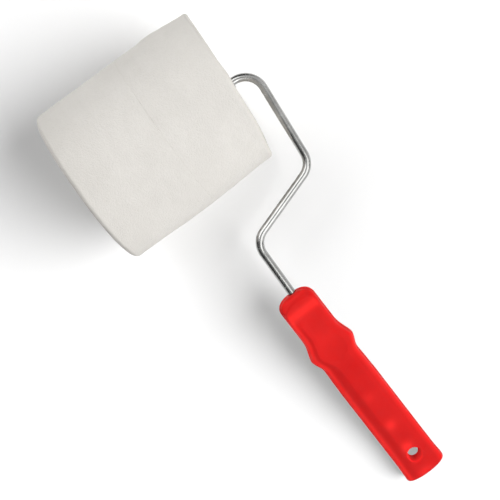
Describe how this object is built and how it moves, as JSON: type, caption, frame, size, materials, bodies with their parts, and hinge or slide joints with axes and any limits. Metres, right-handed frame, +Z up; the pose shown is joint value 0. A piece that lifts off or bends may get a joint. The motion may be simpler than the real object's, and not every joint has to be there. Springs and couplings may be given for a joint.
{
  "type": "seam roller",
  "caption": "Hand roller for pressing down seams: a wide soft foam roller that spins on a cranked steel wire frame with a red moulded handle.",
  "frame": {"origin": "middle of the tool's footprint, on the surface it lies on", "axes": "+X along the roller's axle toward the wire's crank, +Y from the handle's tail toward the roller, +Z up; the flat tool plane slopes 9.84 degrees down from the axle to the tail"},
  "size_m": [0.1208, 0.297, 0.096],
  "materials": {
    "cream_foam": "matte",
    "red_plastic": "satin",
    "plated_steel": "polished",
    "core_plastic": "matte",
    "plug_plastic": "satin",
    "bush_bronze": "satin",
    "washer_nylon": "satin"
  },
  "bodies": {
    "frame": {"handle": "red_plastic", "wire_frame": "plated_steel", "stop_collar": "plated_steel", "axle_cap": "plated_steel"},
    "roller": {"foam_ring_inner": "cream_foam", "foam_ring_outer": "cream_foam", "core_tube": "core_plastic", "end_plug_inner": "plug_plastic", "end_plug_outer": "plug_plastic", "bush_inner": "bush_bronze", "bush_outer": "bush_bronze", "thrust_washer_inner": "washer_nylon", "thrust_washer_outer": "washer_nylon"}
  },
  "joints": [
    {"name": "roller_spin", "type": "hinge", "parent": "frame", "child": "roller", "pos_m": [-0.00543, 0.10045, 0.048], "axis": [1, 0, 0], "continuous": true}
  ]
}
